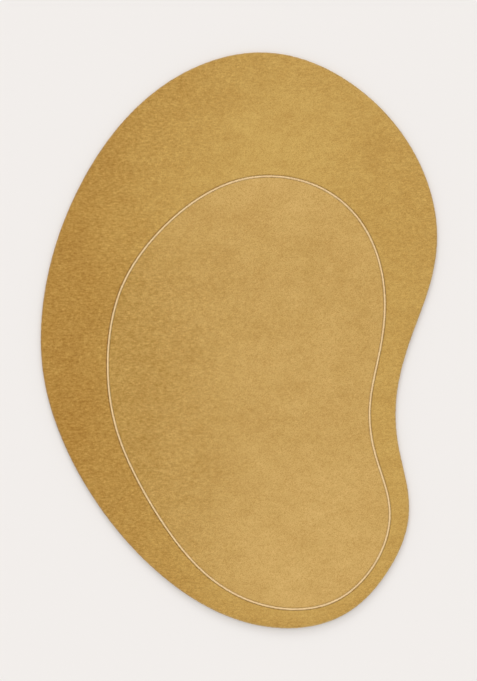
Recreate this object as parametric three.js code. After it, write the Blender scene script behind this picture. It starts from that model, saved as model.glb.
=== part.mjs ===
import * as THREE from "three";
import { mergeVertices } from "three/addons/utils/BufferGeometryUtils.js";

// A wool rug that lies flat on the floor: one tufted cloth with an even cut pile, in the outline
// of a smooth pebble with a waist on its right side, and one thin line of cream pile that is set
// into a channel carved through the pile.
// Millimetres. The origin is on the floor under the middle of the rug, +X runs across it,
// +Y along its length and +Z up.

// Driving sizes
const pileTop = 13; // floor to pile tips, the whole thickness of the rug
const baseCloth = 2.5; // the stiff cloth under the pile
const rimOverhang = 2; // how far the pile leans out over the edge of the base cloth
const channelFloor = 7; // height of the carved channel's floor
const seatGap = 0.3; // between the cream line and the channel that it stands in
const lineHalfWidth = 3.5;
const lineTop = 12.4; // the line is clipped just under the pile on both sides
const outerGroove = 4; // gap beside the line at the pile tips, on its outer side
const innerGroove = 2.8; // the same gap on its inner side

// How finely the two closed curves are stepped
const outlineSteps = 200;
const lineSteps = 160;

const ochreWool = { color: 0xc49c58, roughness: 0.95, metalness: 0 };
const creamWool = { color: 0xead2a2, roughness: 0.92, metalness: 0 };

// Pins along the outer edge of the rug, anticlockwise from the top
const outlinePins = [
  { x: 130, y: 1147 },
  { x: -90, y: 1120 },
  { x: -300, y: 1016 },
  { x: -492, y: 842 },
  { x: -632, y: 609 },
  { x: -738, y: 366 },
  { x: -781, y: 108 },
  { x: -784, y: -116 },
  { x: -730, y: -311 },
  { x: -642, y: -528 },
  { x: -482, y: -761 },
  { x: -301, y: -941 },
  { x: -120, y: -1065 },
  { x: 68, y: -1133 },
  { x: 267, y: -1145 },
  { x: 453, y: -1078 },
  { x: 589, y: -931 },
  { x: 672, y: -742 },
  { x: 681, y: -590 },
  { x: 621, y: -390 },
  { x: 640, y: -204 },
  { x: 678, y: 20 },
  { x: 778, y: 237 },
  { x: 788, y: 470 },
  { x: 721, y: 716 },
  { x: 571, y: 921 },
  { x: 357, y: 1084 },
];

// Pins along the middle of the cream line, anticlockwise from its top
const linePins = [
  { x: 180, y: 650 },
  { x: 0, y: 641 },
  { x: -166, y: 560 },
  { x: -331, y: 419 },
  { x: -445, y: 256 },
  { x: -503, y: 85 },
  { x: -521, y: -120 },
  { x: -494, y: -343 },
  { x: -411, y: -529 },
  { x: -298, y: -737 },
  { x: -150, y: -914 },
  { x: 20, y: -1031 },
  { x: 215, y: -1070 },
  { x: 399, y: -1038 },
  { x: 539, y: -902 },
  { x: 605, y: -722 },
  { x: 587, y: -588 },
  { x: 533, y: -417 },
  { x: 520, y: -245 },
  { x: 563, y: -63 },
  { x: 584, y: 120 },
  { x: 563, y: 308 },
  { x: 486, y: 480 },
  { x: 346, y: 600 },
];

// Cross-sections: out is measured across a curve, away from the rug's middle, and up from the floor.

// The rug's edge, from the underside up to where the pile is level
const rimSection = [
  { out: -rimOverhang, up: 0 },
  { out: -rimOverhang + 0.5, up: baseCloth },
  { out: -0.3, up: 5 },
  { out: 0, up: 7.5 },
  { out: -0.6, up: 10 },
  { out: -2, up: 11.8 },
  { out: -4.5, up: 12.7 },
  { out: -8, up: pileTop },
];

// The channel, from the pile outside it, down, across its floor and up to the pile inside it
const outerLip = lineHalfWidth + outerGroove;
const innerLip = lineHalfWidth + innerGroove;
const channelSection = [
  { out: outerLip + 2.5, up: pileTop },
  { out: outerLip, up: 12.2 },
  { out: outerLip - 1.6, up: 9.6 },
  { out: lineHalfWidth + 1, up: channelFloor },
  { out: -lineHalfWidth - 0.8, up: channelFloor },
  { out: -innerLip + 1.2, up: 9.8 },
  { out: -innerLip, up: 12.4 },
  { out: -innerLip - 2, up: pileTop },
];

// The cream line, once round: across its foot, up its outer side and back over its rounded top
const lineSection = [
  { out: -lineHalfWidth + 0.5, up: channelFloor + seatGap },
  { out: lineHalfWidth - 0.5, up: channelFloor + seatGap },
  { out: lineHalfWidth, up: 10 },
  { out: lineHalfWidth - 0.6, up: 11.7 },
  { out: 1.3, up: lineTop },
  { out: -1.3, up: lineTop },
  { out: -lineHalfWidth + 0.6, up: 11.7 },
  { out: -lineHalfWidth, up: 10 },
];

// A closed curve that runs past its pins as a springy batten does, with no corner or lump.
class BattenCurve extends THREE.Curve {
  constructor(pins) {
    super();
    this.arcLengthDivisions = 4000;
    const points = pins.map(({ x, y }) => new THREE.Vector2(x, y));
    this.controls = controlsThrough(faired(points));
  }

  getPoint(t, target = new THREE.Vector2()) {
    const along = t * this.controls.length;
    const start = Math.floor(along);
    const u = along - start;
    const weights = [
      (1 - u) ** 3,
      3 * u ** 3 - 6 * u ** 2 + 4,
      -3 * u ** 3 + 3 * u ** 2 + 3 * u + 1,
      u ** 3,
    ];
    target.set(0, 0);
    weights.forEach((weight, i) => {
      target.addScaledVector(around(this.controls, start - 1 + i), weight / 6);
    });
    return target;
  }
}

// The item at a place on a closed list
function around(list, i) {
  return list[(i + list.length) % list.length];
}

// Each point is eased towards the smooth run of the two points on either side of it.
function faired(points) {
  const ease = 1 / 16;
  const shares = [-1, 4, -6, 4, -1];
  return points.map((point, i) => {
    const moved = point.clone();
    shares.forEach((share, k) => {
      moved.addScaledVector(around(points, i - 2 + k), ease * share);
    });
    return moved;
  });
}

// Control points of a smooth cubic curve, moved until it runs through every point
function controlsThrough(points) {
  const passes = 40;
  let controls = points.map((point) => point.clone());
  for (let pass = 0; pass < passes; pass++) {
    controls = controls.map((control, i) => {
      const onCurve = control.clone().multiplyScalar(4);
      onCurve.add(around(controls, i - 1)).add(around(controls, i + 1)).divideScalar(6);
      return control.clone().add(points[i]).sub(onCurve);
    });
  }
  return controls;
}

// A closed ring of evenly spaced points beside a curve, at one height
function ringBeside(curve, steps, { out, up }) {
  const ring = [];
  for (let i = 0; i < steps; i++) {
    const point = curve.getPointAt(i / steps);
    const ahead = curve.getTangentAt(i / steps);
    ring.push(new THREE.Vector3(point.x + out * ahead.y, point.y - out * ahead.x, up));
  }
  return ring;
}

function ringsBeside(curve, steps, section) {
  return section.map((row) => ringBeside(curve, steps, row));
}

// The triangles of the wall between two rings, its outside on the right of the way that they run
function wallBetween(lower, upper) {
  return lower.flatMap((corner, i) => {
    const next = (i + 1) % lower.length;
    return [corner, lower[next], upper[next], corner, upper[next], upper[i]];
  });
}

function wallsAlong(rings) {
  return rings.slice(1).flatMap((ring, i) => wallBetween(rings[i], ring));
}

// The flat triangles inside a ring, facing up, with a hole where a second ring is given
function levelInside(ring, hole = []) {
  const backwards = [...hole].reverse();
  const corners = [...ring, ...backwards];
  const holes = backwards.length > 0 ? [backwards] : [];
  return THREE.ShapeUtils.triangulateShape(ring, holes).flatMap((face) => face.map((i) => corners[i]));
}

function turnedOver(triangles) {
  return [...triangles].reverse();
}

// One closed solid from its triangles, three corners to each
function solidMesh(name, triangles, finish) {
  const loose = new THREE.BufferGeometry().setFromPoints(triangles);
  const geometry = mergeVertices(loose);
  geometry.computeVertexNormals();
  const mesh = new THREE.Mesh(geometry, new THREE.MeshStandardMaterial(finish));
  mesh.name = name;
  return mesh;
}

// The rug itself: underside, edge, level pile outside the channel, channel, level pile inside it
function makePileCloth(outline, line) {
  const rim = ringsBeside(outline, outlineSteps, rimSection);
  const channel = ringsBeside(line, lineSteps, channelSection);
  const triangles = [
    ...turnedOver(levelInside(rim[0])),
    ...wallsAlong(rim),
    ...levelInside(rim.at(-1), channel[0]),
    ...wallsAlong(channel),
    ...levelInside(channel.at(-1)),
  ];
  return solidMesh("pile_cloth", triangles, ochreWool);
}

// The cream line, a closed loop of pile that stands in the channel
function makeInlaidLine(line) {
  const sides = ringsBeside(line, lineSteps, lineSection);
  return solidMesh("inlaid_line", wallsAlong([...sides, sides[0]]), creamWool);
}

const outline = new BattenCurve(outlinePins);
const line = new BattenCurve(linePins);

const rug = new THREE.Group();
rug.name = "wool_rug";
rug.add(makePileCloth(outline, line), makeInlaidLine(line));

// The pins are measured from the middle of the pattern, and the rug's own middle becomes the origin.
const middle = new THREE.Box3().setFromObject(rug).getCenter(new THREE.Vector3());
rug.position.set(-middle.x, -middle.y, 0);

export default rug;
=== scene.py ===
import math

import bmesh
import bpy
import numpy as np
from mathutils import Matrix, Vector, noise
from mathutils.kdtree import KDTree


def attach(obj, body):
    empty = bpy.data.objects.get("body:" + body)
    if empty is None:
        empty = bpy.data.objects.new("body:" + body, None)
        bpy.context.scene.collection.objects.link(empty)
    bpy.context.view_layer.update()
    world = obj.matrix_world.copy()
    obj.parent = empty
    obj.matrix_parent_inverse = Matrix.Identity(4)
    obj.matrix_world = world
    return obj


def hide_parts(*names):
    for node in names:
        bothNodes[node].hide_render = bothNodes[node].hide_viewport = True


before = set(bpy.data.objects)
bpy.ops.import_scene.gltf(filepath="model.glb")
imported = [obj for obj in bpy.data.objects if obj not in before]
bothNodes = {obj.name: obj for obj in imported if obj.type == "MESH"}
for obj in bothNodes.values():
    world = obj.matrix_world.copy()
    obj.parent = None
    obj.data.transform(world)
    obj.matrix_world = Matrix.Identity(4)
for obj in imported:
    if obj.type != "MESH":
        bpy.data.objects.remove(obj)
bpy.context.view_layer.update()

# A wool rug that lies flat on a pale floor, seen straight from above. Its curves are taken from the
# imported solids; the pile, the loose tufts, the woven base cloth and the finishes are made here.
# Metres, with the origin on the floor under the middle of the rug and +Y along its length.

mm = 0.001
chance = np.random.default_rng(41)


# A closed curve laid flat, run anticlockwise, that knows its outward side all the way round
class Ring:
    def __init__(self, points):
        points = np.array(points)[:, :2]
        after = np.roll(points, -1, 0)
        turning = (points[:, 0] * after[:, 1] - after[:, 0] * points[:, 1]).sum()
        self.points = points if turning > 0 else points[::-1].copy()
        steps = np.roll(self.points, -1, 0) - self.points
        ahead = steps + np.roll(steps, 1, 0)
        ahead /= np.linalg.norm(ahead, axis=1)[:, None]
        self.outward = np.stack([ahead[:, 1], -ahead[:, 0]], 1)
        self.length = np.linalg.norm(steps, axis=1).sum()
        self.area = abs(turning) / 2

    def beside(self, out, up=0.0):
        level = self.points + self.outward * out
        return np.column_stack([level, np.full(len(level), up)])

    # Places and outward sides at shares of the way round
    def spread(self, shares):
        stations = np.arange(len(self.points) + 1) / len(self.points)
        both = np.hstack([self.points, self.outward])
        closed = np.vstack([both, both[:1]])
        found = np.stack([np.interp(shares % 1, stations, column) for column in closed.T], 1)
        return found[:, :2], found[:, 2:]


# The corners of a CAD node at one height, as closed loops with the widest first
def loopsAt(nodeName, height):
    bm = bmesh.new()
    bm.from_mesh(bothNodes[nodeName].data)
    bmesh.ops.remove_doubles(bm, verts=bm.verts, dist=0.001 * mm)
    bm.verts.index_update()
    level = [v for v in bm.verts if abs(v.co.z - height) < 0.02 * mm]
    waiting = set(level)
    loops = []
    for first in level:
        if first not in waiting:
            continue
        vert, loop = first, []
        while vert:
            waiting.discard(vert)
            loop.append(vert.co.copy())
            joined = [edge.other_vert(vert) for edge in vert.link_edges]
            onward = [v for v in joined if v in waiting]
            vert = min(onward, key=lambda v: v.index) if onward else None
        loops.append(loop)
    bm.free()
    return sorted(loops, key=lambda loop: -max(point.length for point in loop))


def addObject(name, data):
    item = bpy.data.objects.new(name, data)
    bpy.context.scene.collection.objects.link(item)
    return item


# What an object's curve or modifiers come to, as a new mesh
def finishedMesh(item):
    finished = item.evaluated_get(bpy.context.evaluated_depsgraph_get())
    return bpy.data.meshes.new_from_object(finished)


# A fine smooth ring through a loop of corners
def ringThrough(loop, finer=8):
    curve = bpy.data.curves.new("guide", "CURVE")
    curve.dimensions = "3D"
    curve.resolution_u = finer
    spline = curve.splines.new("BEZIER")
    spline.bezier_points.add(len(loop) - 1)
    spline.use_cyclic_u = True
    for knot, point in zip(spline.bezier_points, loop):
        knot.co = point
        knot.handle_left_type = knot.handle_right_type = "AUTO"
    guide = addObject("guide", curve)
    mesh = finishedMesh(guide)
    points = [v.co.copy() for v in mesh.vertices]
    bpy.data.objects.remove(guide)
    bpy.data.meshes.remove(mesh)
    return Ring(points)


# Which points of a level grid lie inside a ring
def insideRing(points, ring):
    a = ring.points
    b = np.roll(a, -1, 0)
    order = np.argsort(points[:, 1], kind="stable")
    rows = np.split(order, np.flatnonzero(np.diff(points[order, 1]) > 0) + 1)
    inside = np.zeros(len(points), bool)
    for row in rows:
        y = points[row[0], 1]
        cut = (a[:, 1] > y) != (b[:, 1] > y)
        share = (y - a[cut, 1]) / (b[cut, 1] - a[cut, 1])
        crossings = np.sort(a[cut, 0] + share * (b[cut, 0] - a[cut, 0]))
        inside[row] = np.searchsorted(crossings, points[row, 0]) % 2 == 1
    return inside


pile = {
    "widest": 7.5,      # mm up from the floor, where the solid rug is widest
    "cell": 4.3,        # mm from one tuft to the next
    "wander": 0.27,     # how far a tuft strays, as a share of the cell
    "clear": 0.8,       # how far the field stays off the walls, as a share of the cell
    "midway": 30,       # mm out from the line, between it and the rug's edge
    "tips": 0.1,        # how deep the level pile counts for painted shade, from 0 at the tips to 1 at the root
    "uneven": 0.24,     # mm, tuft against tuft
    "mostUneven": 0.6,  # mm, and never more than this
    "ripple": 0.30,     # mm up and down,
    "rippleSpan": 15,   # mm from one to the next
    "swell": 0.40,      # mm up and down,
    "swellSpan": 90,    # mm from one to the next
    "crosswise": 0.6,   # how many of both run across the rug, for each one along it
    "loose": (3, 8),    # mm up from the floor: held fast below the first, loose above the second
    "sunkShade": 0.45,       # how much more painted shade a tuft gets for each mm that it stands lower
    "shadedSide": (0.38, -0.92),   # the way that the rug's edge faces where painted shade darkens it
    "shadedFacing": (0.4, 0.9),    # how squarely it faces that way, from none to all of it
    "shadedBand": (12, 70),        # mm in from the edge, from all of it to none
    # from the level pile down to the root: mm out from the curve, mm up from the floor, and deep,
    # which sets painted shade
    "rim": [
        (-8, 13, 0.1), (-5.6, 12.8, 0.1), (-3.6, 12.2, 0.15), (-2.4, 11, 0.2),
        (-1.9, 8, 0.3), (-2.2, 5, 0.45), (-3.2, 2.8, 0.7), (-4, 2.1, 1),
    ],
    "outerWall": [
        (10, 13, 0.1), (8.4, 12.8, 0.15), (7, 12, 0.25), (5.9, 10.4, 0.5),
        (4.9, 7.2, 1), (2, 6.6, 1), (0, 6.6, 1), (0, 2.1, 1),
    ],
    "innerWall": [
        (-8.3, 13, 0.1), (-7, 12.8, 0.15), (-6, 12, 0.25), (-5, 10.4, 0.5),
        (-4.2, 7.2, 1), (-2, 6.6, 1), (-0.1, 6.6, 1), (-0.1, 2.1, 1),
    ],
}

flatMap = {
    "span": 2.42,         # m of rug across the UV map
    "rootScale": 0.12,    # the hidden root is laid small,
    "rootShift": -1.02,   # m to the side of the rug
    "rootTop": 2.7,       # mm up from the floor, the highest that it reaches
}


def inMetres(rows):
    return [(out * mm, up * mm, deep) for out, up, deep in rows]


def openEdges(vert):
    return sum(edge.is_boundary for edge in vert.link_edges)


# One closed piece in the making. Each corner knows its station on its ring, how deep it is in the
# pile, which sets painted shade, and where it lies when the walls are unfolded flat, which becomes
# the piece's UV map.
class Shell:
    def __init__(self):
        self.bm = bmesh.new()
        self.station = self.bm.verts.layers.int.new("station")
        self.deep = self.bm.verts.layers.float.new("deep")
        self.laidFlat = self.bm.verts.layers.float_vector.new("laidFlat")

    # The first ring of edges, beside a curve
    def start(self, ring, out, up, deep):
        count = len(ring.points)
        made = bmesh.ops.create_circle(self.bm, cap_ends=False, segments=count, radius=1.0)
        for i, (vert, place) in enumerate(zip(made["verts"], ring.beside(out, up))):
            vert[self.station] = i
            vert[self.deep] = deep
            vert[self.laidFlat] = vert.co = place
        return list({edge for vert in made["verts"] for edge in vert.link_edges})

    # A wall drawn on from those edges, row by row; unfoldTo is +1 outwards and -1 inwards
    def draw(self, edges, ring, rows, unfoldTo):
        flat = rows[0][0]
        for before, (out, up, deep) in zip(rows, rows[1:]):
            flat += unfoldTo * math.dist(before[:2], (out, up))
            made = bmesh.ops.extrude_edge_only(self.bm, edges=edges)["geom"]
            fresh = {item for item in made if isinstance(item, bmesh.types.BMVert)}
            places, flats = ring.beside(out, up), ring.beside(flat, up)
            for vert in fresh:
                vert.co = places[vert[self.station]]
                vert[self.deep] = deep
                vert[self.laidFlat] = flats[vert[self.station]]
            edges = [item for item in made if isinstance(item, bmesh.types.BMEdge)]
            edges = [edge for edge in edges if fresh.issuperset(edge.verts)]
        return edges

    def fill(self, edges, facing):
        bmesh.ops.triangle_fill(
            self.bm, use_beauty=True, use_dissolve=False, edges=edges, normal=(0, 0, facing)
        )

    # Level cells of one tuft each, every other row moved along by half a cell
    def tuftField(self, ring, height, wanted):
        cell = pile["cell"] * mm
        low, high = ring.points.min(0), ring.points.max(0)
        middle = (low + high) / 2
        across, along = ((high - low) / cell).astype(int)
        size = Matrix.Diagonal((across * cell / 2, along * cell / 2, 1, 1))
        made = bmesh.ops.create_grid(
            self.bm, x_segments=across, y_segments=along, size=1.0, matrix=size
        )["verts"]
        for vert in made:
            row = round((vert.co.y + along * cell / 2) / cell)
            sideways = cell / 4 if row % 2 else -cell / 4
            x = vert.co.x + middle[0] + sideways
            y = (row - along / 2) * cell + middle[1]
            vert.co = (x, y, height)
            vert[self.laidFlat] = vert.co
            vert[self.deep] = pile["tips"]
            vert[self.station] = -1
        keep = wanted(np.array([vert.co for vert in made]))
        spare = [vert for vert, kept in zip(made, keep) if not kept]
        bmesh.ops.delete(self.bm, geom=spare, context="VERTS")
        self.trim()

    # Takes off stray corners, where two patches of the field only just touch
    def trim(self):
        stray = True
        while stray:
            field = (v for v in self.bm.verts if v[self.station] < 0)
            stray = [v for v in field if not v.link_faces or openEdges(v) > 2]
            bmesh.ops.delete(self.bm, geom=stray, context="VERTS")
        wires = [e for e in self.bm.edges if e.is_wire]
        bmesh.ops.delete(self.bm, geom=wires, context="EDGES")

    # The field's open edges inside or outside a ring
    def fieldEdges(self, ring, inside):
        edges = [e for e in self.bm.edges if e.is_boundary and e.verts[0][self.station] < 0]
        found = insideRing(np.array([e.verts[0].co for e in edges]), ring)
        return [e for e, within in zip(edges, found) if within == inside]

    # The map laid flat: from above as it lies, and the hidden root small beside it
    def layMap(self):
        uv = self.bm.loops.layers.uv.new("OFBake")
        span = flatMap["span"]
        for face in self.bm.faces:
            facesDown = face.normal.z < -0.9
            hidden = facesDown and max(v.co.z for v in face.verts) < flatMap["rootTop"] * mm
            scale = flatMap["rootScale"] if hidden else 1.0
            shift = flatMap["rootShift"] if hidden else 0.0
            for loop in face.loops:
                flat = loop.vert[self.laidFlat] * scale
                loop[uv].uv = ((flat.x + shift) / span + 0.5, flat.y / span + 0.5)

    def finish(self, name):
        bmesh.ops.recalc_face_normals(self.bm, faces=self.bm.faces)
        self.layMap()
        openings = sum(not e.is_manifold for e in self.bm.edges)
        mesh = bpy.data.meshes.new(name)
        self.bm.to_mesh(mesh)
        self.bm.free()
        mesh.shade_smooth()
        print(name, len(mesh.loop_triangles), "triangles,", openings, "open edges")
        return mesh


# One list of numbers of a mesh, read in one go
def numbersOf(items, key, wide=1):
    values = np.zeros(len(items) * wide)
    items.foreach_get(key, values)
    return values.reshape(-1, wide) if wide > 1 else values


# A new list on a mesh, with a number or a vector for each corner
def addNumbers(mesh, name, values):
    kind, key = ("FLOAT", "value") if values.ndim == 1 else ("FLOAT_VECTOR", "vector")
    mesh.attributes.new(name, kind, "POINT").data.foreach_set(key, values.ravel())


def waves(places, span, seed):
    crosswise = pile["crosswise"]
    spots = (Vector((x * crosswise / span, y / span, z / span + seed)) for x, y, z in places)
    return np.array([noise.noise(spot) for spot in spots])


# Tufts stray, and stand a little higher or lower, most of all on top; those that stand lower get
# more painted shade
def ruffle(mesh):
    places = numbersOf(mesh.vertices, "co", 3)
    sides = numbersOf(mesh.vertex_normals, "vector", 3)
    station = numbersOf(mesh.attributes["station"].data, "value")
    held, free = pile["loose"]
    loose = np.clip((places[:, 2] / mm - held) / (free - held), 0, 1)
    most = pile["mostUneven"]
    lift = chance.normal(0, pile["uneven"], len(places)).clip(-most, most)
    ripple = pile["ripple"] * waves(places, pile["rippleSpan"] * mm, 3)
    swell = pile["swell"] * waves(places, pile["swellSpan"] * mm, 8)
    lift += ripple + swell
    places += sides * (lift * loose * mm)[:, None]
    stray = chance.uniform(-1, 1, (len(places), 2)) * pile["wander"] * pile["cell"] * mm
    places[:, :2] += stray * (station < 0)[:, None]
    mesh.vertices.foreach_set("co", places.ravel())
    deep = mesh.attributes["deep"].data
    sunkShade = numbersOf(deep, "value") - pile["sunkShade"] * lift * loose
    deep.foreach_set("value", sunkShade.clip(0, 1))
    addNumbers(mesh, "shade", chance.random(len(places)))
    mesh.update()


# A finished piece, without the lists that were only needed to make it
def addPiece(name, mesh, finish, node):
    piece = addObject(name, mesh)
    mesh.materials.clear()
    mesh.materials.append(finish)
    for spent in ("station", "laidFlat", "turn", "size"):
        if spent in mesh.attributes:
            mesh.attributes.remove(mesh.attributes[spent])
    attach(piece, "root")
    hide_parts(node)
    return piece


# How much the pile turns from the light where it leans out over the rug's lower edge, 0 to 1: it
# sets painted shade there
def leanOutShade(mesh, rimRing):
    tree = KDTree(len(rimRing.points))
    for i, (x, y) in enumerate(rimRing.points):
        tree.insert((x, y, 0), i)
    tree.balance()
    found = [tree.find((x, y, 0)) for x, y, z in numbersOf(mesh.vertices, "co", 3)]
    nearest, away = np.array([(i, distance) for place, i, distance in found]).T
    facing = rimRing.outward[nearest.astype(int)] @ pile["shadedSide"]
    (least, most), (near, far) = pile["shadedFacing"], pile["shadedBand"]
    bySide = np.clip((facing - least) / (most - least), 0, 1)
    byBand = np.clip((far - away / mm) / (far - near), 0, 1)
    addNumbers(mesh, "turnedFromLight", bySide * byBand)


# The pile between the rug's edge and the cream line
def makeOuterPile(rimRing, lineRing, finish):
    shell = Shell()
    rim, wall = inMetres(pile["rim"]), inMetres(pile["outerWall"])
    brow = shell.start(rimRing, *rim[0])
    rimRoot = shell.draw(brow, rimRing, rim, 1)
    lip = shell.start(lineRing, *wall[0])
    wallRoot = shell.draw(lip, lineRing, wall, -1)
    clear = pile["clear"] * pile["cell"] * mm
    within = Ring(rimRing.beside(rim[0][0] - clear))
    beyond = Ring(lineRing.beside(wall[0][0] + clear))
    shell.tuftField(rimRing, rim[0][1], lambda p: insideRing(p, within) & ~insideRing(p, beyond))
    midway = Ring(lineRing.beside(pile["midway"] * mm))
    shell.fill(brow + shell.fieldEdges(midway, False), 1)
    shell.fill(lip + shell.fieldEdges(midway, True), 1)
    shell.fill(rimRoot + wallRoot, -1)
    mesh = shell.finish("outerPile")
    ruffle(mesh)
    leanOutShade(mesh, rimRing)
    return addPiece("outerPile", mesh, finish, "pile_cloth")


# The pile that the cream line goes round
def makeInnerPile(lineRing, finish):
    shell = Shell()
    wall = inMetres(pile["innerWall"])
    lip = shell.start(lineRing, *wall[0])
    wallRoot = shell.draw(lip, lineRing, wall, 1)
    clear = pile["clear"] * pile["cell"] * mm
    within = Ring(lineRing.beside(wall[0][0] - clear))
    shell.tuftField(lineRing, wall[0][1], lambda p: insideRing(p, within))
    shell.fill(lip + shell.fieldEdges(lineRing, True), 1)
    shell.fill(wallRoot, -1)
    mesh = shell.finish("innerPile")
    ruffle(mesh)
    return addPiece("innerPile", mesh, finish, "pile_cloth")


creamLine = {
    "shoulder": (2.9, 11.7),   # on the line's solid: mm out from its middle, mm up from the floor
    # once round the section, from the middle of its foot: mm out, mm up, and how deep in the pile,
    # for painted shade
    "section": [
        (0, 5, 1), (-2.2, 5, 1), (-2.5, 7.4, 0.8), (-2.5, 9.6, 0.5),
        (-1.9, 11.2, 0.3), (-0.9, 11.8, 0.2), (0, 11.9, 0.2), (0.9, 11.8, 0.2),
        (1.9, 11.2, 0.3), (2.5, 9.6, 0.5), (2.5, 7.4, 0.8), (2.2, 5, 1),
    ],
}


# The body of the cream line, under its tufts
def makeCreamLine(lineRing, finish):
    shell = Shell()
    section = inMetres(creamLine["section"])
    seam = shell.start(lineRing, *section[0])
    shell.draw(seam, lineRing, section + section[:1], -1)
    bmesh.ops.remove_doubles(shell.bm, verts=shell.bm.verts, dist=0.01 * mm)
    mesh = shell.finish("creamLine")
    ruffle(mesh)
    return addPiece("creamLine", mesh, finish, "inlaid_line")


baseCloth = {
    # its cut edge, from the top round to the underside: mm out, mm up, and deep under the pile
    "edge": [(-9, 2.5, 1), (-5, 2.5, 1), (-4.5, 2, 1), (-4.5, 0.5, 1), (-5, 0, 1), (-9, 0, 1)],
}


# The woven cloth that the pile is tufted through
def makeBaseCloth(rimRing, finish):
    shell = Shell()
    edge = inMetres(baseCloth["edge"])
    above = shell.start(rimRing, *edge[0])
    below = shell.draw(above, rimRing, edge, 1)
    shell.fill(above, 1)
    shell.fill(below, -1)
    return addPiece("baseCloth", shell.finish("baseCloth"), finish, "pile_cloth")


# A socket in a node tree, with arithmetic that adds the nodes it needs
class Flow:
    def __init__(self, graph, socket):
        self.graph = graph
        self.socket = socket

    def maths(self, operation, first, second):
        return self.graph.add("ShaderNodeMath", {"operation": operation}, {0: first, 1: second})

    def __add__(self, other):
        return self.maths("ADD", self, other)

    def __radd__(self, other):
        return self.maths("ADD", other, self)

    def __sub__(self, other):
        return self.maths("SUBTRACT", self, other)

    def __rsub__(self, other):
        return self.maths("SUBTRACT", other, self)

    def __mul__(self, other):
        return self.maths("MULTIPLY", self, other)

    def __rmul__(self, other):
        return self.maths("MULTIPLY", other, self)

    # Another output of the same node
    def beside(self, name):
        return Flow(self.graph, self.socket.node.outputs[name])


# A node tree that is filled from the script: type, settings, then socket values or links
class Graph:
    def __init__(self, tree):
        self.tree = tree
        tree.nodes.clear()

    def add(self, kind, settings={}, sockets={}, output=0):
        node = self.tree.nodes.new(kind)
        for name, value in settings.items():
            setattr(node, name, value)
        for name, value in sockets.items():
            if isinstance(value, Flow):
                self.tree.links.new(value.socket, node.inputs[name])
            else:
                node.inputs[name].default_value = value
        return Flow(self, node.outputs[output]) if node.outputs else node

    def mixed(self, factor, first, second, how="MIX", within=True):
        settings = {"data_type": "RGBA", "blend_type": how, "clamp_factor": within}
        return self.add("ShaderNodeMix", settings, {0: factor, 6: first, 7: second}, 2)

    # Noise that runs to both sides of nothing
    def grain(self, place, perMetre, detail=1.0):
        sockets = {"Vector": place, "Scale": perMetre, "Detail": detail, "Roughness": 0.55}
        return self.add("ShaderNodeTexNoise", {}, sockets) - 0.5

    # A value eased from one range to another
    def eased(self, value, low, high, toLow=0.0, toHigh=1.0):
        sockets = {0: value, 1: low, 2: high, 3: toLow, 4: toHigh}
        return self.add("ShaderNodeMapRange", {"interpolation_type": "SMOOTHSTEP"}, sockets)

    def stretched(self, place, by):
        return self.add("ShaderNodeVectorMath", {"operation": "MULTIPLY"}, {0: place, 1: by})

    def grey(self, value):
        return self.add("ShaderNodeCombineXYZ", {}, {0: value, 1: value, 2: value})

    def measured(self, place, axis):
        return self.add("ShaderNodeSeparateXYZ", {}, {0: place}, axis)

    # A list of numbers that the mesh brings along
    def brought(self, name):
        return self.add("ShaderNodeAttribute", {"attribute_name": name}, {}, "Fac")

    def surface(self, sockets):
        shader = self.add("ShaderNodeBsdfPrincipled", {}, sockets)
        self.add("ShaderNodeOutputMaterial", {}, {"Surface": shader})


# Linear colour from a red, green and blue of 0 to 255 as seen on screen
def seen(red, green, blue):
    shares = [value / 255 for value in (red, green, blue)]
    return (*[s / 12.92 if s < 0.04045 else ((s + 0.055) / 1.055) ** 2.4 for s in shares], 1.0)


def newFinish(name):
    material = bpy.data.materials.new(name)
    material.use_nodes = True
    return material, Graph(material.node_tree)


ochreWool = {
    "deep": seen(189, 147, 69),
    "light": seen(219, 186, 108),
    "root": (0.74, 0.64, 0.50, 1.0),   # painted shade: what the colour is multiplied by deep between the tufts
    # painted light and shade: how light the nap lies, from the left edge to the middle
    "napLightLeft": (-0.80, 0.10),
    "napLightMiddle": (0.20, 0.68),
    # broad patches of painted light and shade, where the nap leans another way to the light: place,
    # reach and gain
    "napLightPatches": [
        {"at": (0.12, 0.72), "reach": (0.42, 0.45), "gain": 0.23},     # lighter, above the line
        {"at": (-0.30, 0.55), "reach": (0.40, 0.45), "gain": 0.20},    # lighter, beside it
        {"at": (0.30, -0.86), "reach": (0.62, 0.60), "gain": 0.22},    # lighter, low on the right
        {"at": (0.76, 0.62), "reach": (0.34, 0.50), "gain": -0.15},    # darker along the right edge
        {"at": (-0.70, -0.40), "reach": (0.20, 0.45), "gain": -0.11},  # and low along the left one
        {"at": (0.02, 1.20), "reach": (0.70, 0.28), "gain": -0.09},    # darker along the top edge
    ],
    "lowerEdgeShade": 0.22,     # painted shade in a narrow band along the lower edge, which faces away from the light
    "lift": 0.0,           # lighter all over
    "drift": 0.55,         # uneven tone over 250 mm
    "mottle": 0.60,        # and over 40 mm
    "rows": 0.76,          # and in fine streaks along the rows of tufts
    "tufts": 0.08,         # and from one tuft to the next
    "yarns": 0.10,         # and from one yarn end to the next
    "fibres": 1.0,         # and from fibre to fibre
    "grain": (2.15, 0.2),  # how strong the last four are where the nap lies deep, and light
    "yarnEnds": 420,       # to the metre
    "gapShade": 0.8,           # painted shade between them
    "fibreEnds": 1100,     # clumps of fibre to the metre
    "pitShade": 0.35,          # and painted shade between those
    "roughness": 0.96,
    "sheen": 0.12,
}

# The pile inside the line, which lies a little paler
innerWool = {**ochreWool, "deep": seen(185, 147, 67), "light": seen(221, 187, 116), "lift": 0.11}

# The tufts at the rug's edge, made paler with painted light against the shade that falls on them
edgeLitWool = {**ochreWool, "deep": seen(195, 154, 82), "light": seen(223, 193, 119), "lift": 0.12}

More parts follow.
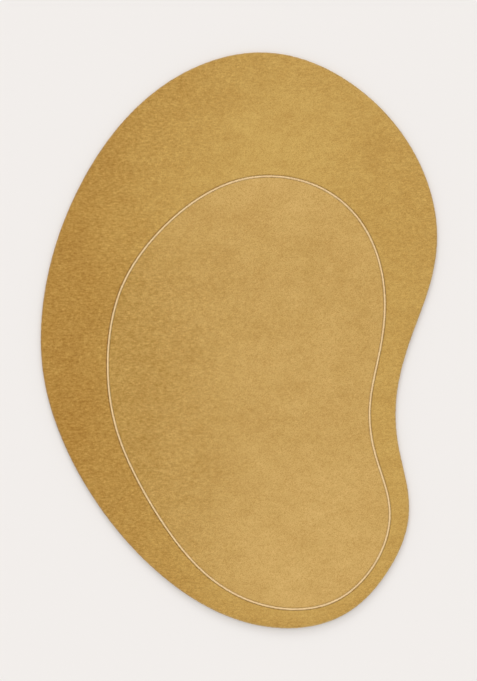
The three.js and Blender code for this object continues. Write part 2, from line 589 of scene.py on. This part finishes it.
creamWool = {
    "deep": seen(248, 206, 144),
    "light": seen(255, 232, 182),
    "tone": 0.85,
    # root, gaps and pits are painted shade, deep in the pile and between the yarn ends
    "root": (0.90, 0.82, 0.70, 1.0),
    "drift": 0.10,
    "mottle": 0.40,
    "rows": 0.30,
    "tufts": 0.30,
    "yarns": 0.30,
    "fibres": 1.0,
    "grain": (0.83, 0.83),
    "yarnEnds": 300,
    "gapShade": 0.35,
    "fibreEnds": 1100,
    "pitShade": 0.35,
    "roughness": 0.94,
    "sheen": 0.15,
}

# What every wool here has in common
spinning = {
    "strands": (1.0, 1.0, 0.25),   # yarn and fibres are drawn out along the tuft,
    "rows": (0.65, 1.0, 0.5),      # yarn ends and mottling along the rows as well,
    "streaks": (0.5, 1.0, 0.5),    # and fine streaks further still
    "wobble": 2,                   # mm that the yarns wander
    "wobbles": 450,                # to the metre
    "scatter": 0.85,               # of the yarn ends, 0 in ranks to 1 at random
    "driftWaves": 4.5,             # to the metre, as the next three are
    "mottleWaves": 24,
    "rowWaves": 125,
    "fibreWaves": 2000,
    "grainTones": (0.3, 1.0),      # the tones between which the grain weakens
    "grainTone": 0.5,              # how much of the grain goes into the tone,
    "grainLight": 0.23,            # and how much only makes it lighter or darker
    "deepPatches": 0.35,           # how strong drift and mottling are where the nap lies deep
    "gapEdge": (0.4, 0.85),        # where a yarn end turns down to the gap and its painted shade, in cells
    "pitEdge": (0.2, 0.7),         # and where a clump of fibre does
    "pitRelief": 0.35,
    "relief": 1.2,                 # mm
    "bump": 0.9,
    "sheenRoughness": 0.55,
    "specular": 0.2,
}


# The nap's lightness over the whole rug, 0 deep to 1 light: painted light and shade, as light falls
# on the nap
def napLightAndShade(graph, place, look):
    if "tone" in look:
        return look["tone"]
    (left, leftTone), (middle, middleTone) = look["napLightLeft"], look["napLightMiddle"]
    side = graph.measured(place, "X")
    tone = look["lift"] + graph.eased(side, left, middle, leftTone, middleTone)
    for patch in look["napLightPatches"]:
        # the reach is endless upwards, so that a patch is the same at every height
        sockets = {"Vector": place, "Location": (*patch["at"], 0), "Scale": (*patch["reach"], 100)}
        near = graph.add("ShaderNodeMapping", {"vector_type": "TEXTURE"}, sockets)
        away = graph.add("ShaderNodeVectorMath", {"operation": "LENGTH"}, {0: near}, "Value")
        tone = tone + graph.eased(away, 0.0, 1.0, patch["gain"], 0.0)
    # painted shade along the lower edge, where the pile turns from the light
    return tone - look["lowerEdgeShade"] * graph.brought("turnedFromLight")


# Upright yarn: little cells where it is seen end on, long strands where it is seen from the side,
# each with painted shade at its edge, and finer fibres in them
def makeWool(name, look):
    material, graph = newFinish(name)
    place = graph.add("ShaderNodeTexCoord", {}, {}, "Object")
    strands = graph.stretched(place, spinning["strands"])
    alongRows = graph.stretched(strands, spinning["rows"])
    streaks = graph.stretched(strands, spinning["streaks"])
    sockets = {"Vector": strands, "Scale": spinning["wobbles"]}
    wobble = graph.add("ShaderNodeTexNoise", {}, sockets, "Color")
    nudged = {0: wobble, 1: (spinning["wobble"] * mm,) * 3, 2: alongRows}
    yarns = graph.add("ShaderNodeVectorMath", {"operation": "MULTIPLY_ADD"}, nudged)
    cells = {"Vector": yarns, "Scale": look["yarnEnds"], "Randomness": spinning["scatter"]}
    away = graph.add("ShaderNodeTexVoronoi", {}, cells, "Distance")
    clumps = {"Vector": strands, "Scale": look["fibreEnds"]}
    ends = graph.add("ShaderNodeTexVoronoi", {}, clumps, "Distance")

    yarn = graph.measured(away.beside("Color"), "X")
    fibres = graph.grain(strands, spinning["fibreWaves"], 3.0)
    fine = look["yarns"] * (yarn - 0.5) + look["tufts"] * (graph.brought("shade") - 0.5)
    fine = fine + look["rows"] * graph.grain(streaks, spinning["rowWaves"])
    fine = fine + look["fibres"] * fibres
    mottle = look["mottle"] * graph.grain(alongRows, spinning["mottleWaves"], 2.0)
    broad = mottle + look["drift"] * graph.grain(place, spinning["driftWaves"], 2.0)

    # where the nap lies deep the grain shows more, and the patches less
    tone = napLightAndShade(graph, place, look)
    fine = fine * graph.eased(tone, *spinning["grainTones"], *look["grain"])
    least = spinning["deepPatches"]
    tone = tone + spinning["grainTone"] * fine + broad * (least + (1 - least) * tone)
    colour = graph.mixed(tone, look["deep"], look["light"], within=False)
    bright = 1.0 + spinning["grainLight"] * fine
    colour = graph.mixed(1.0, colour, graph.grey(bright), "MULTIPLY")
    # painted shade: darker between yarn ends and fibre clumps, and deeper down in the pile
    gapShade = look["gapShade"] * graph.eased(away, *spinning["gapEdge"])
    pitShade = look["pitShade"] * graph.eased(ends, *spinning["pitEdge"])
    deep = graph.brought("deep") + gapShade + pitShade
    rootShade = graph.mixed(deep, (1.0, 1.0, 1.0, 1.0), look["root"])
    colour = graph.mixed(1.0, colour, rootShade, "MULTIPLY")

    height = fibres - away - spinning["pitRelief"] * ends
    relief = {"Strength": spinning["bump"], "Distance": spinning["relief"] * mm, "Height": height}
    graph.surface({
        "Base Color": colour,
        "Normal": graph.add("ShaderNodeBump", {}, relief),
        "Roughness": look["roughness"],
        "Sheen Weight": look["sheen"],
        "Sheen Roughness": spinning["sheenRoughness"],
        "Specular IOR Level": spinning["specular"],
    })
    return material


backing = {
    "warp": seen(205, 192, 165),
    "weft": seen(186, 171, 141),
    "thread": 1.7,         # mm from one to the next
    "uneven": 0.25,        # how much its lightness varies, over two kinds of waves
    "broadWaves": 30,      # to the metre
    "fineWaves": 700,
    "relief": 0.5,         # mm
    "bump": 0.6,
    "roughness": 0.9,
}


# Plain weave: each thread goes over one and under one
def makeWeave(name, look):
    material, graph = newFinish(name)
    place = graph.add("ShaderNodeTexCoord", {}, {}, "Object")
    turn = math.pi / (look["thread"] * mm)
    x, y = graph.measured(place, "X") * turn, graph.measured(place, "Y") * turn
    ups = graph.add("ShaderNodeMath", {"operation": "SINE"}, {0: x})
    overs = graph.add("ShaderNodeMath", {"operation": "SINE"}, {0: y})
    over = ups * overs
    colour = graph.mixed(graph.eased(over, -0.5, 0.5), look["warp"], look["weft"])
    bright = 1.0 + look["uneven"] * graph.grain(place, look["broadWaves"], 2.0)
    bright = bright + look["uneven"] * graph.grain(place, look["fineWaves"])
    colour = graph.mixed(1.0, colour, graph.grey(bright), "MULTIPLY")
    height = graph.add("ShaderNodeMath", {"operation": "ABSOLUTE"}, {0: over})
    relief = {"Strength": look["bump"], "Distance": look["relief"] * mm, "Height": height}
    bump = graph.add("ShaderNodeBump", {}, relief)
    graph.surface({"Base Color": colour, "Normal": bump, "Roughness": look["roughness"]})
    return material


# Sizes in mm. Each row of tufts: mm out and mm up of the tips, and degrees that they lean outwards
rimTufts = {
    "spacing": 2.6, "width": 2.8, "length": 10.6,
    "rows": [(-5.4, 13, 2), (-3.5, 13, 4), (-1.7, 12.9, 7), (-0.2, 12.3, 11)],
}
outerTufts = {
    "spacing": 2.8, "width": 2.9, "length": 8,
    "rows": [(9.7, 13, 0), (8.05, 12.95, -3), (6.4, 12.8, -6)],
}
innerTufts = {
    "spacing": 2.8, "width": 2.9, "length": 8,
    "rows": [(-8, 13, 0), (-6.6, 12.95, 2), (-5.2, 12.8, 5)],
}
creamTufts = {
    "spacing": 2.6, "width": 3.3, "length": 7.1,
    "rows": [(-2.2, 13.7, -5), (0, 14.1, 0), (2.2, 13.7, 5)],
}

oneTuft = {
    "shoulder": -0.14,      # where it is cut blunt, from 0 at the tip to -2 at the root
    "slender": 0.7,         # how wide it is at the root, against the shoulder
    "roundWidth": 1.732,    # width of a round of five corners on the sphere that it starts as
    # how unlike its neighbours it is
    "astray": 0.22,         # along the row, as a share of the spacing
    "off": 0.25,            # mm
    "tilt": 9,              # degrees
    "bearing": 14,          # degrees
    "widths": (0.85, 1.15),
    "lengths": (0.9, 1.05),
}


# One tuft, standing up with its tip at the origin: blunt where it is cut, and slender at the root
def tuftMesh(width, length):
    bm = bmesh.new()
    bm.loops.layers.uv.new("OFBake")
    deep = bm.verts.layers.float.new("deep")
    bmesh.ops.create_uvsphere(bm, u_segments=5, v_segments=3, radius=1.0, calc_uvs=True)
    bmesh.ops.translate(bm, verts=bm.verts, vec=(0, 0, -1))
    for vert in bm.verts:
        if -1 < vert.co.z < -0.1:       # the upper round of corners
            vert.co.z = oneTuft["shoulder"]
        elif -1.9 < vert.co.z < -1:     # the lower one
            vert.co.xy *= oneTuft["slender"]
        # deeper towards the root, which sets painted shade there
        vert[deep] = (vert.co.z / 2) ** 2
    wide = width / oneTuft["roundWidth"]
    bmesh.ops.scale(bm, verts=bm.verts, vec=(wide, wide, length / 2))
    mesh = bpy.data.meshes.new("tuft")
    bm.to_mesh(mesh)
    bm.free()
    mesh.shade_smooth()
    return mesh


# Places and turns for rows of tufts beside a ring
def tuftPlaces(ring, look):
    places, turns = [], []
    count = int(ring.length / (look["spacing"] * mm))
    astray = oneTuft["astray"]
    for number, (out, up, lean) in enumerate(look["rows"]):
        stations = np.arange(count) + 0.5 * (number % 2) + chance.uniform(-astray, astray, count)
        middle, side = ring.spread(stations / count)
        stray = chance.normal(0, oneTuft["off"], (count, 2)) * mm
        level = middle + side * (out * mm + stray[:, :1])
        places.append(np.column_stack([level, up * mm + stray[:, 1]]))
        tilt = np.radians(lean + chance.normal(0, oneTuft["tilt"], count))
        bearing = np.arctan2(side[:, 1], side[:, 0])
        bearing += np.radians(chance.normal(0, oneTuft["bearing"], count))
        turns.append(np.column_stack([np.zeros(count), tilt, bearing]))
    return np.vstack(places), np.vstack(turns)


# Puts one tuft on every place with Geometry Nodes, and makes them one real piece
def plant(name, ring, look, finish, node):
    places, turns = tuftPlaces(ring, look)
    count = len(places)
    wide = chance.uniform(*oneTuft["widths"], count)
    tall = chance.uniform(*oneTuft["lengths"], count)
    ground = bpy.data.meshes.new("ground")
    ground.vertices.add(count)
    ground.vertices.foreach_set("co", places.ravel())
    addNumbers(ground, "turn", turns)
    addNumbers(ground, "size", np.column_stack([wide, wide, tall]))
    addNumbers(ground, "shade", chance.random(count))
    tuft = addObject("tuft", tuftMesh(look["width"] * mm, look["length"] * mm))
    holder = addObject("ground", ground)
    tree = bpy.data.node_groups.new("planting", "GeometryNodeTree")
    tree.interface.new_socket("Geometry", in_out="INPUT", socket_type="NodeSocketGeometry")
    tree.interface.new_socket("Geometry", in_out="OUTPUT", socket_type="NodeSocketGeometry")
    graph = Graph(tree)
    vectors = {"data_type": "FLOAT_VECTOR"}
    turn = graph.add("GeometryNodeInputNamedAttribute", vectors, {"Name": "turn"})
    size = graph.add("GeometryNodeInputNamedAttribute", vectors, {"Name": "size"})
    yarn = graph.add("GeometryNodeObjectInfo", {}, {"Object": tuft}, "Geometry")
    points = graph.add("NodeGroupInput")
    sockets = {"Points": points, "Instance": yarn, "Rotation": turn, "Scale": size}
    planted = graph.add("GeometryNodeInstanceOnPoints", {}, sockets)
    real = graph.add("GeometryNodeRealizeInstances", {}, {"Geometry": planted})
    graph.add("NodeGroupOutput", {}, {0: real})
    holder.modifiers.new("planting", "NODES").node_group = tree
    mesh = finishedMesh(holder)
    for spent in (tuft, holder):
        bpy.data.objects.remove(spent)
    mesh.name = name
    spreadMaps(mesh, count)
    print(name, count, "tufts,", len(mesh.loop_triangles), "triangles")
    return addPiece(name, mesh, finish, node)


# Gives each tuft its own square of the UV map
def spreadMaps(mesh, count, margin=0.06):
    uv = mesh.uv_layers["OFBake"].uv
    spots = numbersOf(uv, "vector", 2)
    side = math.ceil(math.sqrt(count))
    tuft = np.arange(len(spots)) // (len(spots) // count)
    corner = np.column_stack([tuft % side, tuft // side])
    uv.foreach_set("vector", ((corner + margin + (1 - 2 * margin) * spots) / side).ravel())


studio = {
    "backdrop": seen(242, 238, 235),
    "floor": (0.805, 0.80, 0.795, 1.0),
    "floorSize": 60,           # m from its middle to each side
    "floorDrop": 0.3,          # mm under the rug
    "around": 0.89,            # strength of the soft light from all round, above the backdrop
    "towardsTop": 0.67,        # how much stronger it gets towards the top of the picture
    "backdropTop": (0.16, 0.28),   # where it gives way to that light, from 0 level to 1 overhead
    # where each lamp shines from, its strength, and how many degrees wide it is
    "lamps": [((0, 0.03, 1), 0.30, 18), ((-0.14, 1, 0.33), 0.98, 18)],
}


def makeStudio():
    bm = bmesh.new()
    bmesh.ops.create_grid(bm, x_segments=4, y_segments=4, size=studio["floorSize"])
    bmesh.ops.translate(bm, verts=bm.verts, vec=(0, 0, -studio["floorDrop"] * mm))
    mesh = bpy.data.meshes.new("floor")
    bm.to_mesh(mesh)
    bm.free()
    floor = addObject("floor", mesh)
    material, graph = newFinish("paleFloor")
    graph.surface({"Base Color": studio["floor"], "Roughness": 1.0, "Specular IOR Level": 0.0})
    mesh.materials.append(material)
    for shinesFrom, strength, spread in studio["lamps"]:
        lamp = addObject("lamp", bpy.data.lights.new("lamp", "SUN"))
        lamp.data.energy = strength
        lamp.data.angle = math.radians(spread)
        lamp.rotation_euler = Vector(shinesFrom).to_track_quat("Z", "Y").to_euler()
    world = bpy.data.worlds.new("studio")
    bpy.context.scene.world = world
    world.use_nodes = True
    graph = Graph(world.node_tree)
    side = graph.add("ShaderNodeTexCoord", {}, {}, "Generated")
    above = graph.eased(graph.measured(side, "Z"), *studio["backdropTop"])
    upwards = graph.add("ShaderNodeClamp", {}, {0: graph.measured(side, "Y")})
    soft = studio["around"] + studio["towardsTop"] * upwards
    strength = 1.0 + above * (soft - 1.0)
    sky = graph.add("ShaderNodeBackground", {}, {"Color": studio["backdrop"], "Strength": strength})
    graph.add("ShaderNodeOutputWorld", {}, {"Surface": sky})


view = {
    "lens": 85,                        # mm
    "sensor": 36,                      # mm along the picture's long side
    "from": (-0.0016, -0.0006, 6.428),   # m, right above the rug
}


def makeCamera():
    camera = addObject("camera", bpy.data.cameras.new("camera"))
    camera.data.lens = view["lens"]
    camera.data.sensor_width = view["sensor"]
    camera.location = view["from"]
    bpy.context.scene.camera = camera
    bpy.context.scene.view_settings.view_transform = "Standard"


makeCamera()
makeStudio()
print("camera, floor and lights are in")

shoulderOut, shoulderUp = creamLine["shoulder"]
rimRing = ringThrough(loopsAt("pile_cloth", pile["widest"] * mm)[0])
shoulderRing = ringThrough(loopsAt("inlaid_line", shoulderUp * mm)[0])
lineRing = Ring(shoulderRing.beside(-shoulderOut * mm))
print("edge", round(rimRing.length, 3), "m round, line", round(lineRing.length, 3), "m round")

ochre = makeWool("ochreWool", ochreWool)
paler = makeWool("innerWool", innerWool)
litEdgeFinish = makeWool("edgeLitWool", edgeLitWool)
cream = makeWool("creamWool", creamWool)
weave = makeWeave("baseWeave", backing)
print("finishes are mixed")

base = makeBaseCloth(rimRing, weave)
riders = [
    makeOuterPile(rimRing, lineRing, ochre),
    makeInnerPile(lineRing, paler),
    makeCreamLine(lineRing, cream),
    plant("rimTufts", rimRing, rimTufts, litEdgeFinish, "pile_cloth"),
    plant("outerTufts", lineRing, outerTufts, ochre, "pile_cloth"),
    plant("innerTufts", lineRing, innerTufts, paler, "pile_cloth"),
    plant("creamTufts", lineRing, creamTufts, cream, "inlaid_line"),
]
print("the rug is tufted")

setBack = -max(out for out, up, deep in baseCloth["edge"]) * mm
clothArea = round(rimRing.area - setBack * rimRing.length, 3)
